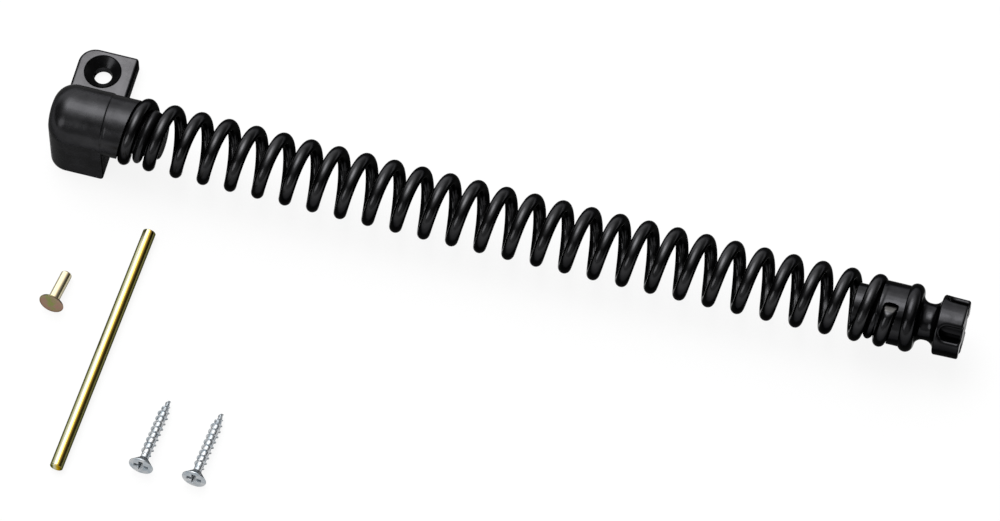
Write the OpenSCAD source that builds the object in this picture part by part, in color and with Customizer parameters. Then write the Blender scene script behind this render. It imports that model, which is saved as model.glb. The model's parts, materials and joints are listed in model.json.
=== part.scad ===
// Gate spring closer: a long torsion spring wound on between a cast bracket and a castellated
// adjuster. The bracket is screwed to the gate post, the adjuster is turned with the tension bar
// to wind the spring up, and the lock pin then holds it. The bar, the pin and two screws lie loose
// beside the closer, as they come.
// +X runs along the spring from the bracket to the adjuster, +Z points up from the face that is
// screwed down, +Y points from the spring to the screw hole. The origin is the centre of the screw
// hole on that face.

/* [Bracket] */
// Diameter of the screw hole
hole_d = 5.8; // [4:0.1:7]
// Diameter of the countersink at the plate's upper face
countersink_d = 11.7; // [9:0.1:13]
// Thickness of the screw plate
plate_t = 5.5; // [4.5:0.5:9]
// From the screw hole to the plate's left edge
plate_left = 8.8; // [8:0.2:14]
// From the screw hole to the plate's right edge, which is the housing's right face too
plate_right = 10.1; // [8:0.1:14]
// From the screw hole to the plate's rear edge
plate_rear = 7.4; // [7:0.1:14]
// Radius of the two left corners, seen from above
left_corner_r = 6.5; // [2:0.5:8]
// Radius of the right rear corner, seen from above
right_corner_r = 2; // [0.5:0.5:6]
// From the screw hole to the spring's axis
hole_to_axis = 24.7; // [20:0.1:34]
// Height of the spring's axis above the base
axis_h = 18; // [14:0.5:30]
// Diameter of the barrel that carries the spring's first turn
barrel_d = 20; // [19.5:0.1:22]
// Length of the barrel in front of the housing
barrel_len = 8.6; // [8:0.1:12]
// How far the housing stands proud of the barrel
housing_step = 0.3; // [0.1:0.1:2]
// Length of the spigot in front of the barrel
bracket_spigot_len = 9.6; // [6:0.1:20]

/* [Spring] */
// Diameter of the coated wire
wire_d = 4.2; // [3.6:0.1:4.4]
// Mean diameter of the coil
coil_d = 18.5; // [17.5:0.1:20]
// Distance from turn to turn along the axis, in the middle of the spring
pitch = 9.25; // [8:0.05:14]
// How much closer the turns lie at the bracket, and wider at the adjuster, than in the middle
pitch_spread = 0.28; // [0:0.01:0.5]
// Distance from turn to turn in the first turn
first_pitch = 8.1; // [7.8:0.1:10]
// Distance from turn to turn in the last turn
last_pitch = 7.4; // [7.3:0.1:10]
// Number of turns
turns = 27.5; // [6:0.5:40]
// Angle at which the first turn starts, from straight up towards the rear
start_angle = 165; // [0:1:359]
// From the housing's right face to the start of the first turn
spring_start = 5.3; // [4.5:0.1:8]

/* [Ribs between the turns] */
// Width of the helical rib on each casting
rib_w = 2.6; // [2.4:0.1:3.6]
// How far the rib's section is sunk in the spigot
rib_root = 1.7; // [1:0.1:2]
// Turns from the wire's start to the start of the bracket's rib
bracket_rib_from = 0.05; // [0:0.05:0.2]
// Turns that the bracket's rib runs
bracket_rib_turns = 0.65; // [0.4:0.05:0.8]
// Turns from the start of the adjuster's rib to the wire's end
adjuster_rib_from = 1.35; // [1.2:0.05:1.5]
// Turns that the adjuster's rib runs
adjuster_rib_turns = 0.55; // [0.3:0.05:0.6]

/* [Adjuster] */
// Diameter of the land that the last turn is let into, and of the ribs at both ends
land_d = 19.7; // [19:0.1:21.5]
// Length of the land
land_len = 7.8; // [6.5:0.1:14]
// How far the land reaches back over the last turn
land_lap = 3.9; // [3:0.1:5]
// Length of the spigot inside the spring
adjuster_spigot_len = 8.5; // [6:0.1:20]
// Diameter of the round flange
flange_d = 22; // [21:0.1:28]
// Width of the round flange
flange_w = 5; // [3:0.1:8]
// Diameter of the neck
neck_d = 12; // [8:0.1:15]
// Length of the neck between the flange and the head
neck_len = 7.1; // [5:0.1:20]
// Radius where the neck runs into the flange and the head
neck_fillet = 2.2; // [0.5:0.1:2.4]
// Diameter of the castellated head
head_d = 19.3; // [17:0.1:26]
// Length of the castellated head
head_len = 8; // [7:0.1:16]
// Rounding of the head's edges
head_edge = 0.7; // [0.2:0.1:1]
// Number of slots round the head
slot_count = 4; // [2:1:6]
// Width of a slot
slot_w = 4.6; // [3:0.1:5]
// Metal left between a slot's closed end and the head's inner face
slot_lip = 1.6; // [0.8:0.1:3]
// Diameter of the hub between the slots
hub_d = 10; // [8:0.1:12]
// Angle of the first slot, from straight up towards the rear
slot_angle = 50; // [0:1:89]

/* [Tension bar] */
// Diameter of the bar
bar_d = 4; // [2.5:0.1:4.4]
// Length of the bar
bar_len = 88; // [50:1:150]
// Chamfer at the bar's ends
bar_chamfer = 0.4; // [0.1:0.1:1]

/* [Lock pin] */
// Diameter of the pin's shank
pin_d = 3.2; // [2:0.1:4]
// Length of the pin's shank
pin_len = 11.6; // [8:0.1:20]
// Diameter of the pin's head
pin_head_d = 8; // [6:0.1:12]
// Thickness of the pin's head
pin_head_t = 1.4; // [0.8:0.1:2.5]

/* [Mounting screws] */
// Length of a screw with its head
screw_len = 25.5; // [20:0.5:50]
// Diameter of a screw's countersunk head
screw_head_d = 8; // [7:0.1:9]
// Diameter over the thread
thread_d = 3.9; // [3.2:0.1:5]
// Diameter of the core under the thread
core_d = 2.6; // [2:0.1:3]
// Pitch of the thread
thread_pitch = 1.8; // [1.2:0.1:2.5]
// Length of the threaded point and shank
thread_len = 19; // [14:0.5:19]
// Length of the tapered point
tip_len = 5; // [3:0.5:7]
// Height of the straight rim of a screw's head
screw_rim = 0.3; // [0.1:0.1:0.6]
// Width of an arm of the cross recess
recess_w = 1; // [0.6:0.1:1.4]
// Span of the cross recess
recess_span = 4.4; // [3:0.1:5]
// Depth of the cross recess
recess_depth = 1.6; // [0.8:0.1:2]

/* [Places of the loose pieces] */
// Middle of the tension bar along the spring
bar_x = 28.1; // [10:0.1:120]
// Middle of the tension bar in front of the screw hole
bar_y = -94.3; // [-160:0.1:-90]
// Turn of the tension bar from square to the spring
bar_turn = 3.1; // [-10:0.1:10]
// End of the lock pin's shank along the spring
pin_x = 9; // [-10:0.1:15]
// End of the lock pin's shank in front of the screw hole
pin_y = -71.3; // [-120:0.1:-50]
// Tip of the first screw along the spring
screw_1_x = 53.2; // [45:0.1:60]
// Tip of the second screw along the spring
screw_2_x = 70.5; // [68:0.1:120]
// Tips of both screws in front of the screw hole
screws_y = -106.4; // [-160:0.1:-60]
// Turn of the pin and the screws from square to the spring
fixings_turn = 4; // [-10:0.1:10]

/* [Clearances] */
// Gap between the spring and the castings that carry it
fit_gap = 0.3; // [0.3:0.05:0.4]
// Gap between the spring's bore and the spigots inside it
spigot_gap = 0.4; // [0.35:0.05:1]

/* [Hidden] */
$fn = 64;
// Makes a cut run past the face it opens in
past = 1;
black_casting = [0.08, 0.08, 0.085];
black_wire = [0.05, 0.05, 0.055];
yellow_zinc = [0.72, 0.60, 0.30];
bright_zinc = [0.74, 0.76, 0.78];

// Bracket
housing_r = barrel_d / 2 + housing_step;
housing_len = plate_left + plate_right;
barrel_end = plate_right + barrel_len;
countersink_depth = (countersink_d - hole_d) / 2;

// Spring. Six-sided rings follow the helix, eight to a turn. They stand a little outside it, so
// that the straight stretches between them keep the coil's mean diameter.
ring_steps = 8;
ring_sides = 6;
side_turn = 180 / ring_sides;
ring_out = 2 / (1 + cos(180 / ring_steps));
wire_r = wire_d / 2;
wire_flat = wire_r * cos(side_turn);
ring_r = ring_out * coil_d / 2;
coil_bore_r = (ring_r - wire_flat) * cos(180 / ring_steps);
spigot_r = coil_bore_r - spigot_gap;
// The two ends of the wire run straight for one wire diameter, this share of a turn
end_run = asin(wire_d / (2 * ring_r)) / 180;
spring_x = plate_right + spring_start;
// Between the first turn and the last the pitch grows evenly
half_turns = turns / 2 - 1;
function spread(u) = pitch_spread * (pow(u - turns / 2, 2) - pow(half_turns, 2)) / (2 * half_turns);
function along(u) =
    u < 1 ? first_pitch * u
    : u < turns - 1 ? first_pitch + pitch * (u - 1) + spread(u)
    : first_pitch + pitch * (turns - 2) + last_pitch * (u - turns + 1);
function around(u) = start_angle + 360 * u;
function outward(u) = [0, sin(around(u)), cos(around(u))];
function wire_at(u) = [spring_x + along(u), 0, 0] + ring_r * outward(u);
spring_end_x = spring_x + along(turns);
wire_stops = concat([-end_run], [for (i = [0 : ring_steps * turns]) i / ring_steps], [turns + end_run]);

// The ribs lie half way between two turns, and reach from inside the spigot to the land's height.
rib_half_h = (land_d / 2 - spigot_r + rib_root) / 2;
rib_r = ring_out * (land_d / 2 - rib_half_h);
function rib_at(u) =
    [spring_x + (along(u) + along(u + 1)) / 2, 0, 0] + rib_r * outward(u);
// The grooves follow the wire a little further than the castings reach
groove_turns = 1.6;

// A tube through the points pts: each ring is square to the way from the point before it to the
// point after it, rx wide along the axis and rr high away from the axis.
function unit(v) = v / norm(v);
function way(pts, i) = unit(pts[min(i + 1, len(pts) - 1)] - pts[max(i - 1, 0)]);
function ring(p, out, t, rr, rx) =
    let (n = unit(out - (out * t) * t), b = cross(t, n))
    [for (k = [0 : ring_sides - 1])
        let (a = side_turn * (2 * k + 1)) p + rr * cos(a) * n + rx * sin(a) * b];
function tube_rings(pts, outs, rr, rx) =
    [for (i = [0 : len(pts) - 1]) ring(pts[i], outs[i], way(pts, i), rr, rx)];
module tube(rings) {
    last = len(rings) - 1;
    n = ring_sides;
    sides = [for (i = [0 : last - 1]) for (k = [0 : n - 1]) let (j = (k + 1) % n)
        each [[i * n + k, i * n + n + k, i * n + n + j], [i * n + k, i * n + n + j, i * n + j]]];
    start_cap = [for (k = [1 : n - 2]) [0, k, k + 1]];
    end_cap = [for (k = [1 : n - 2]) [last * n, last * n + k + 1, last * n + k]];
    polyhedron([for (r = rings) each r], concat(sides, start_cap, end_cap));
}
function wire_rings(stops) =
    tube_rings([for (u = stops) wire_at(u)], [for (u = stops) outward(u)], wire_r, wire_r);

// The spring's least gap to itself, from the points of its rings, half a turn or more apart
coil_rings = wire_rings(wire_stops);
least_gap = min([for (i = [0 : len(coil_rings) - 1])
    for (j = [i + ring_steps / 2 : min(i + ring_steps * 3 / 2, len(coil_rings) - 1)])
        for (p = coil_rings[i]) for (q = coil_rings[j]) norm(p - q)]);
echo(spring_least_gap_mm = least_gap);

// Adjuster, along the spring
land_x = spring_end_x - land_lap;
flange_x = land_x + land_len;
neck_x = flange_x + flange_w;
head_x = neck_x + neck_len;
head_end = head_x + head_len;
slot_end = head_x + slot_lip + slot_w / 2;

// Puts a shape that is turned about Z on the spring's axis, with its Z along the spring
module on_axis() {
    translate([0, -hole_to_axis, axis_h]) rotate([0, 90, 0]) children();
}

// Moves a shape that is built round the X axis to the spring's axis
module at_axis() {
    translate([0, -hole_to_axis, axis_h]) children();
}

// The half section, from x0 to x1, of a round piece of radius r with rounded outer edges
module rounded_section(x0, x1, r, edge) {
    translate([0, x0]) square([r - edge, x1 - x0]);
    translate([0, x0 + edge]) square([r, x1 - x0 - 2 * edge]);
    for (x = [x0 + edge, x1 - edge]) translate([r - edge, x]) circle(edge);
}

// The groove that the wire lies in, fit_gap wider all round and fit_gap longer at the wire's end.
// A second tube further out opens the groove to the outside.
module wire_groove(stops, at_start) {
    outs = [for (u = stops) outward(u)];
    pts = [for (u = stops) wire_at(u)];
    last = len(pts) - 1;
    end = at_start ? 0 : last;
    shift = (at_start ? -fit_gap : fit_gap) * way(pts, end);
    longer = [for (i = [0 : last]) pts[i] + (i == end ? shift : [0, 0, 0])];
    r = wire_r + fit_gap / cos(side_turn);
    for (lift = [0, wire_r])
        tube(tube_rings([for (i = [0 : last]) longer[i] + lift * outs[i]], outs, r, r));
}

// A helical rib between two turns, which starts at the turn from
module rib(from, length) {
    steps = ceil(length * ring_steps);
    stops = [for (i = [0 : steps]) from + length * i / steps];
    tube(tube_rings([for (u = stops) rib_at(u)], [for (u = stops) outward(u)], rib_half_h, rib_w / 2));
}

// The outline from above of what stands on the base, from y0 to y1, with rounded left corners
module foot_outline(y0, y1) {
    r = left_corner_r;
    for (y = [y0 + r, y1 - r]) translate([r - plate_left, y]) circle(r);
    translate([-plate_left, y0 + r]) square([r, y1 - y0 - 2 * r]);
    translate([r - plate_left, y0]) square([housing_len - r, y1 - y0]);
}

// The outline from above of the screw plate
module plate_outline() {
    r = right_corner_r;
    difference() {
        foot_outline(-hole_to_axis - housing_r, plate_rear);
        translate([plate_right - r, plate_rear - r]) difference() {
            square(r + past);
            circle(r);
        }
    }
}

// Half section of the housing's round top with its rounded closed end
module housing_section() {
    r = left_corner_r;
    translate([0, -plate_left]) square([housing_r - r, housing_len]);
    translate([0, r - plate_left]) square([housing_r, housing_len - r]);
    translate([housing_r - r, r - plate_left]) intersection() {
        circle(r);
        translate([0, -r]) square(r);
    }
}

// Cast bracket: a screw plate, and beside it the housing that ends in the barrel and spigot
module mounting_bracket() color(black_casting) {
    difference() {
        union() {
            linear_extrude(plate_t) plate_outline();
            linear_extrude(axis_h) foot_outline(-hole_to_axis - housing_r, housing_r - hole_to_axis);
            on_axis() rotate([0, 0, 90]) rotate_extrude(angle = 180) housing_section();
            on_axis() cylinder(d = barrel_d, h = barrel_end);
            on_axis() cylinder(r = spigot_r, h = barrel_end + bracket_spigot_len);
            at_axis() rib(bracket_rib_from, bracket_rib_turns);
        }
        translate([0, 0, -past]) cylinder(d = hole_d, h = plate_t + 2 * past);
        translate([0, 0, plate_t - countersink_depth])
            cylinder(d1 = hole_d, d2 = countersink_d, h = countersink_depth);
        translate([0, 0, plate_t]) cylinder(d = countersink_d, h = past);
        at_axis() wire_groove([for (u = wire_stops) if (u < groove_turns) u], true);
    }
}

// Torsion spring of coated wire, wound left-handed
module coil_spring() color(black_wire)
    at_axis() tube(coil_rings);

// Half section of the adjuster before the slots and the groove are cut
module adjuster_section() {
    translate([0, land_x - adjuster_spigot_len]) square([spigot_r, adjuster_spigot_len + past]);
    translate([0, land_x]) square([land_d / 2, land_len + flange_w / 2]);
    translate([0, flange_x]) square([(flange_d - flange_w) / 2, flange_w]);
    translate([(flange_d - flange_w) / 2, flange_x + flange_w / 2]) circle(d = flange_w);
    translate([0, neck_x - past]) square([neck_d / 2, neck_len + 2 * past]);
    neck_hollow();
    rounded_section(head_x, head_end, head_d / 2, head_edge);
}

// The two concave roundings at the ends of the neck
module neck_hollow() {
    r = neck_fillet;
    difference() {
        union() {
            translate([0, neck_x]) square([neck_d / 2 + r, r]);
            translate([0, head_x - r]) square([neck_d / 2 + r, r]);
        }
        for (x = [neck_x + r, head_x - r]) translate([neck_d / 2 + r, x]) circle(r);
    }
}

// One slot of the head, cut from outside down to the hub and open at the head's end
module head_slot() {
    reach = head_d / 2 + past;
    linear_extrude(reach) {
        translate([slot_end, 0]) circle(d = slot_w);
        translate([slot_end, -slot_w / 2]) square([head_end - slot_end + past, slot_w]);
    }
}

// Cast adjuster: spigot and grooved land for the last turn, flange, neck and castellated head
module adjuster_head() color(black_casting) {
    difference() {
        union() {
            on_axis() rotate_extrude() adjuster_section();
            at_axis() rib(turns - adjuster_rib_from, adjuster_rib_turns);
        }
        at_axis() wire_groove([for (u = wire_stops) if (u > turns - groove_turns) u], false);
        difference() {
            at_axis() for (i = [0 : slot_count - 1])
                rotate([-slot_angle - i * 360 / slot_count, 0, 0]) head_slot();
            on_axis() cylinder(d = hub_d, h = head_end + 2 * past);
        }
    }
}

// A loose round piece that lies on the table: its axis runs from the place p towards the front,
// turned and tilted, and its end at p is lift above the table
module lying(p, turn, tilt, lift) {
    translate([p[0], p[1], lift]) rotate([0, 0, -turn]) rotate([90 - tilt, 0, 0]) children();
}

// Straight bar that turns the adjuster
module tension_bar() color(yellow_zinc) {
    r = bar_d / 2;
    c = bar_chamfer;
    translate([bar_x, bar_y, r]) rotate([0, 0, -bar_turn]) rotate([90, 0, 0]) rotate_extrude()
        polygon([[0, -bar_len / 2], [r - c, -bar_len / 2], [r, -bar_len / 2 + c],
            [r, bar_len / 2 - c], [r - c, bar_len / 2], [0, bar_len / 2]]);
}

// Flat-headed pin that locks the adjuster. It lies on the end of its shank and the rim of its head.
module lock_pin() color(yellow_zinc) {
    tilt = atan((pin_head_d - pin_d) / 2 / pin_len);
    lying([pin_x, pin_y], fixings_turn, tilt, pin_d / 2 * cos(tilt)) {
        cylinder(d = pin_d, h = pin_len + pin_head_t / 2);
        translate([0, 0, pin_len]) cylinder(d = pin_head_d, h = pin_head_t);
    }
}

// Half section of a wood screw: a point, thread ridges on a core, a shank and a countersunk head
module screw_section() {
    core_r = core_d / 2;
    ridge = (thread_d - core_d) / 2;
    half = thread_pitch / 4;
    cone = (screw_head_d - core_d) / 2;
    polygon([[0, 0], [core_r, tip_len], [core_r, screw_len - cone - screw_rim],
        [screw_head_d / 2, screw_len - screw_rim], [screw_head_d / 2, screw_len], [0, screw_len]]);
    for (x = [thread_pitch : thread_pitch : thread_len - half]) {
        root = core_r * min(1, x / tip_len);
        crest = root + ridge * min(1, x / tip_len);
        flank = root * (1 - half / x);
        polygon([[0, x - half], [flank, x - half], [crest, x], [flank, x + half], [0, x + half]]);
    }
}

// A countersunk wood screw with a cross recess, which lies on its thread and the rim of its head
module mounting_screw(x) color(bright_zinc) {
    tilt = atan((screw_head_d - thread_d) / 2 / (screw_len - tip_len));
    lift = thread_d / 2 * cos(tilt) - tip_len * sin(tilt);
    lying([x, screws_y], fixings_turn, tilt, lift) difference() {
        rotate_extrude() screw_section();
        for (a = [0, 90]) rotate([0, 0, a])
            translate([-recess_span / 2, -recess_w / 2, screw_len - recess_depth])
                cube([recess_span, recess_w, recess_depth + past]);
    }
}

module mounting_screw_1() mounting_screw(screw_1_x);
module mounting_screw_2() mounting_screw(screw_2_x);

mounting_bracket();
coil_spring();
adjuster_head();
tension_bar();
lock_pin();
mounting_screw_1();
mounting_screw_2();
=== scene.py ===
import bpy
import json
from math import asin, atan, atan2, ceil, cos, floor, hypot, pi, prod, radians, sin, sqrt, tan
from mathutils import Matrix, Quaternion, Vector


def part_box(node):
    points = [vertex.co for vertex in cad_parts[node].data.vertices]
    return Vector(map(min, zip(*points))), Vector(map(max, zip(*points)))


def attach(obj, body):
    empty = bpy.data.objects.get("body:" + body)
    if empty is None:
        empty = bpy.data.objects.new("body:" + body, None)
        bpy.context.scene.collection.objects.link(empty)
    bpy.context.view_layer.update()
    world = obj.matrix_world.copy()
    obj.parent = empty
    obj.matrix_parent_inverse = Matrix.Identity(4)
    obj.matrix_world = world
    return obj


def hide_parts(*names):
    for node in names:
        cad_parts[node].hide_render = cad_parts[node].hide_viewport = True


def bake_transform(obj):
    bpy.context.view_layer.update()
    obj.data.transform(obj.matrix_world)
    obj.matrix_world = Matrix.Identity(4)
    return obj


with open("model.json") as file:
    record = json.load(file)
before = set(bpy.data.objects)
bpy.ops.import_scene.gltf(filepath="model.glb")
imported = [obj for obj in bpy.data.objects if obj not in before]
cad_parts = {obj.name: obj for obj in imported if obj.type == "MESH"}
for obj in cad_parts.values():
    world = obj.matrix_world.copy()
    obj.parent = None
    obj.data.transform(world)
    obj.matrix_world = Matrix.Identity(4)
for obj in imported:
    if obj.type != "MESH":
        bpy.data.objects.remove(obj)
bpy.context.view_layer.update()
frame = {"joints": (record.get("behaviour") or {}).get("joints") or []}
bpy.ops.object.select_all(action="DESELECT")

# The mounting bracket is one zinc die casting under a thick black coating. Its plate is screwed to the
# post, and its loaf-shaped housing carries a round barrel and a spigot, which the spring is wound on.
mm = 0.001
twist = next(joint for joint in frame["joints"] if joint["name"] == "spring_twist")
axis_y, axis_z = twist["pos_m"][1:]
bracket_low, bracket_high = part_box("mounting_bracket")
rear_overhang = 0.3 * mm
plate_left, plate_rear, plate_front = bracket_low.x, bracket_high.y + rear_overhang, axis_y
plate_right = 10.1 * mm
plate_thick = 5.5 * mm
plate_edge = 0.9 * mm
left_corner, right_corner = 5.6 * mm, 1.1 * mm
housing_r = bracket_high.z - axis_z
housing_rear = axis_y + housing_r
housing_round = 6.5 * mm
housing_foot = 9 * mm
foot_fillet = 0.9 * mm
rim_edge = 0.8 * mm
flush, merge_gap = 0.02 * mm, 1e-6


def only(piece):
    """Leaves one piece selected and active."""
    bpy.ops.object.select_all(action="DESELECT")
    piece.select_set(True)
    bpy.context.view_layer.objects.active = piece


def pick(kind, wanted):
    """In edit mode, selects the corners, edges or faces that a test wants, by their places."""
    bpy.ops.mesh.select_mode(type=kind)
    bpy.ops.mesh.select_all(action="DESELECT")
    bpy.ops.object.mode_set(mode="OBJECT")
    mesh = bpy.context.object.data
    spots = [corner.co for corner in mesh.vertices]
    if kind == "EDGE":
        for edge in mesh.edges:
            edge.select = wanted(*(spots[i] for i in edge.vertices))
    else:
        for face in mesh.polygons:
            face.select = wanted(face.center, face.normal)
    bpy.ops.object.mode_set(mode="EDIT")


def near(a, b):
    """Whether two places along an axis are the same, but for rounding."""
    return abs(a - b) < flush


def face_outwards():
    """In edit mode, merges doubled corners and turns all faces outwards."""
    bpy.ops.mesh.select_all(action="SELECT")
    bpy.ops.mesh.remove_doubles(threshold=merge_gap)
    bpy.ops.mesh.normals_make_consistent(inside=False)


def draw_face(name, points):
    """Draws a flat face corner by corner, and stays in edit mode with it selected."""
    bpy.ops.mesh.primitive_plane_add(size=mm, location=points[0])
    piece = bpy.context.object
    piece.name = piece.data.name = name
    bpy.ops.object.transform_apply(location=True, rotation=True, scale=True)
    bpy.ops.object.mode_set(mode="EDIT")
    bpy.ops.mesh.merge(type="CENTER")
    for here, there in zip(points, points[1:]):
        step = [b - a for a, b in zip(here, there)]
        bpy.ops.mesh.extrude_region_move(TRANSFORM_OT_translate={"value": step})
    bpy.ops.mesh.select_all(action="SELECT")
    bpy.ops.mesh.edge_face_add()
    bpy.ops.mesh.select_mode(type="FACE")
    return piece


def combine(piece, tool, how):
    """Joins a second solid to a piece, or cuts it away."""
    only(piece)
    joint = piece.modifiers.new("joint", "BOOLEAN")
    joint.object, joint.operation, joint.solver = tool, how, "EXACT"
    bpy.ops.object.modifier_apply(modifier=joint.name)
    bpy.data.objects.remove(tool)


def smooth(piece, degrees):
    """Smooth shading up to an angle, with flat faces kept flat."""
    only(piece)
    bpy.ops.object.shade_smooth_by_angle(angle=radians(degrees))
    flats = piece.modifiers.new("flats", "WEIGHTED_NORMAL")
    flats.keep_sharp = True
    bpy.ops.object.modifier_apply(modifier=flats.name)


def spread_out(first, last, steps):
    """Values at even steps from first to last."""
    return [first + (last - first) * i / steps for i in range(steps + 1)]


section = [(housing_rear, -housing_foot)]
section += [(axis_y + housing_r * cos(a), axis_z + housing_r * sin(a)) for a in spread_out(0, pi, 64)]
section += [(axis_y - housing_r, -housing_foot)]
bracket = draw_face("mounting_bracket_casting", [(plate_right, y, z) for y, z in section])
straight = plate_right - plate_left - housing_round
bpy.ops.mesh.extrude_region_move(TRANSFORM_OT_translate={"value": (-straight, 0, 0)})
face_outwards()
pick("FACE", lambda centre, normal: near(centre.x, plate_right - straight) and normal.x < -0.9)
dome = spread_out(0, pi / 2, 10)
for before, after in zip(dome, dome[1:]):
    bpy.ops.mesh.inset(thickness=housing_round * (cos(before) - cos(after)),
                       depth=housing_round * (sin(after) - sin(before)))
bpy.ops.mesh.select_all(action="SELECT")
bpy.ops.mesh.bisect(plane_co=(0, 0, 0), plane_no=(0, 0, 1), use_fill=True, clear_inner=True,
                    threshold=merge_gap)
pick("EDGE", lambda a, b: near(a.x, plate_right) and near(b.x, plate_right) and max(a.z, b.z) > mm)
bpy.ops.mesh.bevel(offset=rim_edge, segments=3, affect="EDGES")
face_outwards()
bpy.ops.object.mode_set(mode="OBJECT")

middle = (plate_left + plate_right) / 2
bpy.ops.mesh.primitive_cube_add(
    size=1,
    location=(middle, (plate_front + plate_rear) / 2, plate_thick / 2),
    scale=(plate_right - plate_left - 2 * flush, plate_rear - plate_front, plate_thick))
plate = bpy.context.object
bpy.ops.object.transform_apply(location=True, rotation=True, scale=True)
bpy.ops.object.mode_set(mode="EDIT")
for wide, side in ((left_corner, -1), (right_corner, 1)):
    pick("EDGE", lambda a, b: (abs(a.z - b.z) > mm and a.y > 0 and near(a.x, b.x)
                               and (a.x - middle) * side > 0))
    bpy.ops.mesh.bevel(offset=wide, segments=12, affect="EDGES")
pick("EDGE", lambda a, b: (near(a.z, plate_thick) and near(b.z, plate_thick)
                           and max(a.y, b.y) > plate_front + mm))
bpy.ops.mesh.bevel(offset=plate_edge, segments=4, affect="EDGES")
face_outwards()
bpy.ops.object.mode_set(mode="OBJECT")
combine(bracket, plate, "UNION")
bpy.ops.object.mode_set(mode="EDIT")
pick("EDGE", lambda a, b: all(near(p.z, plate_thick) and p.y < housing_rear + flush
                              and p.x > plate_left + 2 * mm for p in (a, b)))
bpy.ops.mesh.bevel(offset=foot_fillet, segments=5, affect="EDGES")
bpy.ops.object.mode_set(mode="OBJECT")

hole_r, sink_r, sink_edge = 2.9 * mm, 5.85 * mm, 0.3 * mm
sink_floor = plate_thick - (sink_r - hole_r)
tool_marks = 5
mark = (sink_r - hole_r) / tool_marks
steep, shallow = 0.58 * mark, 0.42 * mark


def turn_up(steps, tall, wide):
    """In edit mode, draws a round face up through heights and radii, as on a lathe."""
    for up, out in steps:
        bpy.ops.mesh.extrude_region_move(TRANSFORM_OT_translate={"value": (0, 0, up - tall)})
        bpy.ops.transform.resize(value=(out / wide, out / wide, 1), center_override=(0, 0, up))
        tall, wide = up, out


sink_steps = [(sink_floor, hole_r)]
for up, out in ((steep, shallow), (shallow, steep)) * tool_marks:
    sink_steps.append((sink_steps[-1][0] + up, sink_steps[-1][1] + out))
sink_steps.append((sink_steps[-1][0] + mm, sink_steps[-1][1]))
bpy.ops.mesh.primitive_circle_add(vertices=96, radius=hole_r, fill_type="NGON", location=(0, 0, -mm))
drill = bpy.context.object
bpy.ops.object.transform_apply(location=True, rotation=True, scale=True)
bpy.ops.object.mode_set(mode="EDIT")
bpy.ops.mesh.select_mode(type="FACE")
turn_up(sink_steps, -mm, hole_r)
face_outwards()
bpy.ops.object.mode_set(mode="OBJECT")
combine(bracket, drill, "DIFFERENCE")
bpy.ops.object.mode_set(mode="EDIT")
pick("EDGE", lambda a, b: all(near(p.z, plate_thick) and near(hypot(p.x, p.y), sink_r) for p in (a, b)))
bpy.ops.mesh.bevel(offset=sink_edge, segments=3, affect="EDGES")
bpy.ops.object.mode_set(mode="OBJECT")

# The barrel, the spigot and the rib between the first two turns belong to the same casting. The wire's
# bed is cast into the barrel, so the first turn lies half sunk in it.
barrel_r, barrel_start, barrel_end = 10.0 * mm, 9.0 * mm, 18.7 * mm
shoulder_from, shoulder_to = barrel_end - 0.4 * mm, barrel_end + 0.3 * mm
spigot_r, spigot_end, spigot_edge = 7.1 * mm, bracket_high.x, 0.8 * mm
seam_x, seam_half, seam_depth = 10.4 * mm, 0.4 * mm, 0.04 * mm
wire_r, coil_r = 2.1 * mm, 9.25 * mm
pitch, pitch_spread, first_pitch, last_pitch = 9.25 * mm, 0.28 * mm, 8.1 * mm, 7.4 * mm
turns, wire_start_x, wire_start_turn = 27.5, 15.4 * mm, 165 / 360
slope = atan(pitch / (2 * pi * coil_r))
rib_half, rib_root, rib_crest, rib_fade = 1.7 * mm, 7.3 * mm, 9.85 * mm, 0.1
rib_from, rib_to, rib_blend = 0.05, 0.7, 0.5 * mm
bed_half, bed_r, bed_past = 2.17 * mm, 2.2 * mm, 0.9 * mm
bed_turns, bed_blend, a_little = 1.6, 0.3 * mm, 0.1
no_bed = 1.0


def wire_x(u):
    """How far along X the wire's middle is after u turns, which lie wider towards the adjuster."""
    first, last = min(u, 1), max(u - (turns - 1), 0)
    open_turns = u - first - last
    half = turns / 2 - 1
    spread = pitch_spread * ((open_turns - half) ** 2 - half ** 2) / (2 * half)
    return wire_start_x + first_pitch * first + pitch * open_turns + spread + last_pitch * last


def laps(turn, first, last):
    """The wire's turns, between first and last and a little past, that lie at an angle round the axis."""
    lowest = ceil(first - a_little - turn + wire_start_turn)
    highest = floor(last + a_little - turn + wire_start_turn)
    return [turn - wire_start_turn + lap for lap in range(lowest, highest + 1)]


def wire_bed(x, turn, first, last):
    """The radius of the bed under the wire, which ends just past the wire's end."""
    lowest = no_bed
    wall = bed_half / sqrt(bed_r ** 2 - bed_half ** 2)
    for u in laps(turn, first, last):
        past = max(first - u, u - last, 0) * 2 * pi * coil_r * bed_r / bed_past
        beside = hypot((x - wire_x(u)) * cos(slope), past)
        floor_r = coil_r - sqrt(bed_r ** 2 - min(beside, bed_half) ** 2)
        lowest = min(lowest, floor_r + max(beside - bed_half, 0) * wall)
    return lowest


def rib_top(x, turn, first, last):
    """The radius of the rib between two turns, which fades out at its two ends."""
    highest = 0
    for u in laps(turn, first, last):
        beside = (x - (wire_x(u) + wire_x(u + 1)) / 2) * cos(slope) / rib_half
        fade = min(1, max(0, min(u - first, last - u) / rib_fade))
        if abs(beside) < 1 and fade > 0:
            rise = sqrt(1 - beside ** 2) * fade * fade * (3 - 2 * fade)
            highest = max(highest, rib_root + (rib_crest - rib_root) * rise)
    return highest


def soft_least(a, b, blend):
    """The lesser of two radii, rounded where they meet."""
    share = max(blend - abs(a - b), 0) / blend
    return min(a, b) - share ** 2 * blend / 4


def soft_most(a, b, blend):
    """The greater of two radii, rounded where they meet."""
    return -soft_least(-a, -b, blend)


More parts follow.
